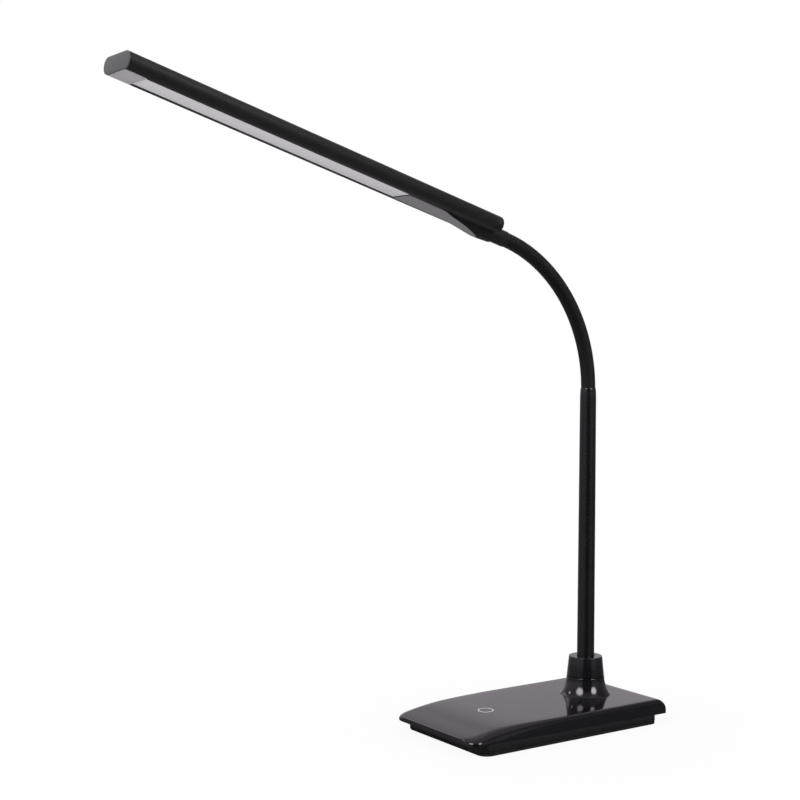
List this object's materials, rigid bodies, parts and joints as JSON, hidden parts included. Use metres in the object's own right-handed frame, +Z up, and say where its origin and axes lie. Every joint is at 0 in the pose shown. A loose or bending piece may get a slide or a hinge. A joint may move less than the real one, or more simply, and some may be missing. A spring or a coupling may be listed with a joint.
{
  "type": "gooseneck desk lamp",
  "caption": "Desk lamp with a long flat LED bar on a flexible neck, a slim round post and a weighted base with a touch control.",
  "frame": {"origin": "centre of the underside of the foot pad, on the table", "axes": "+Z up, -Y towards the tip of the lamp head, +X to the lamp's left as seen from its front"},
  "size_m": [0.097, 0.4312, 0.4686],
  "materials": {
    "pad_foam": "matt foamed rubber",
    "tray_black": "fine matt moulded texture",
    "zinc": "bright zinc plate",
    "gloss_black": "high gloss, moulded",
    "cast_iron": "rough sand cast, black primer",
    "circuit_board": "solder mask",
    "component_black": "moulded component bodies",
    "sensor_foam": "conductive foam",
    "ring_grey": "satin inlaid ring",
    "nickel": "nickel plate",
    "lead_black": "smooth flexible sheath",
    "collar_grey": "satin dark grey paint with a plain top face",
    "satin_black": "satin black powder coat",
    "neck_rubber": "satin flexible sleeve with fine texture",
    "head_black": "satin black, slight sheen",
    "cap_grey": "fine matt texture",
    "filler_grey": "satin",
    "diffuser_white": "opal, satin",
    "reflector_white": "matt white",
    "board_white": "white solder mask on aluminium",
    "led_yellow": "phosphor over white bodies",
    "housing_black": "satin moulded texture",
    "panel_grey": "fine sparkle texture"
  },
  "bodies": {
    "base": {"foot_pad": "pad_foam", "base_tray": "tray_black", "base_screws": "zinc", "base_cover": "gloss_black", "counterweight": "cast_iron", "control_board": "circuit_board", "board_parts": "component_black", "board_screws": "zinc", "touch_sensor": "sensor_foam", "touch_ring": "ring_grey", "dc_jack": "tray_black", "jack_pin": "nickel", "jack_lead": "lead_black", "post_nipple": "zinc", "post_washer": "zinc", "post_nut": "zinc", "post_socket": "gloss_black", "post_collar": "collar_grey", "post_tube": "satin_black", "tube_bush": "tray_black", "post_lead": "lead_black", "neck_root": "zinc", "neck_sleeve_root": "neck_rubber"},
    "link_1": {"neck_link_1": "zinc", "neck_sleeve_1": "neck_rubber"},
    "link_2": {"neck_link_2": "zinc", "neck_sleeve_2": "neck_rubber"},
    "link_3": {"neck_link_3": "zinc", "neck_sleeve_3": "neck_rubber"},
    "link_4": {"neck_link_4": "zinc", "neck_sleeve_4": "neck_rubber"},
    "link_5": {"neck_link_5": "zinc", "neck_sleeve_5": "neck_rubber"},
    "link_6": {"neck_link_6": "zinc", "neck_sleeve_6": "neck_rubber"},
    "link_7": {"neck_link_7": "zinc", "neck_sleeve_7": "neck_rubber"},
    "link_8": {"neck_link_8": "zinc", "neck_sleeve_8": "neck_rubber"},
    "head": {"neck_tip": "zinc", "neck_sleeve_tip": "neck_rubber", "head_shell": "head_black", "front_cap": "cap_grey", "front_filler": "filler_grey", "diffuser": "diffuser_white", "reflector": "reflector_white", "led_board": "board_white", "leds": "led_yellow", "neck_housing": "housing_black", "under_panel": "panel_grey", "neck_clamp": "zinc", "clamp_screws": "zinc", "rear_cap": "head_black", "head_lead": "lead_black"}
  },
  "joints": [
    {"name": "neck_bend_1", "type": "hinge", "parent": "base", "child": "link_1", "pos_m": [0, 0.0533, 0.26281], "axis": [1, 0, 0], "range_deg": [-14, 12]},
    {"name": "neck_sway_2", "type": "hinge", "parent": "link_1", "child": "link_2", "pos_m": [0, 0.05095, 0.27926], "axis": [0, 0.9774, 0.2116], "range_deg": [-12, 12]},
    {"name": "neck_bend_3", "type": "hinge", "parent": "link_2", "child": "link_3", "pos_m": [0, 0.04629, 0.29521], "axis": [1, 0, 0], "range_deg": [-14, 12]},
    {"name": "neck_sway_4", "type": "hinge", "parent": "link_3", "child": "link_4", "pos_m": [0, 0.03942, 0.31034], "axis": [0, 0.8788, 0.4772], "range_deg": [-12, 12]},
    {"name": "neck_bend_5", "type": "hinge", "parent": "link_4", "child": "link_5", "pos_m": [0, 0.03047, 0.32434], "axis": [1, 0, 0], "range_deg": [-14, 12]},
    {"name": "neck_sway_6", "type": "hinge", "parent": "link_5", "child": "link_6", "pos_m": [0, 0.01963, 0.33693], "axis": [0, 0.7096, 0.7046], "range_deg": [-12, 12]},
    {"name": "neck_bend_7", "type": "hinge", "parent": "link_6", "child": "link_7", "pos_m": [0, 0.00711, 0.34786], "axis": [1, 0, 0], "range_deg": [-14, 12]},
    {"name": "neck_sway_8", "type": "hinge", "parent": "link_7", "child": "link_8", "pos_m": [0, -0.00683, 0.35691], "axis": [0, 0.4835, 0.8753], "range_deg": [-12, 12]},
    {"name": "neck_bend_9", "type": "hinge", "parent": "link_8", "child": "head", "pos_m": [0, -0.02191, 0.3639], "axis": [1, 0, 0], "range_deg": [-14, 12]}
  ]
}
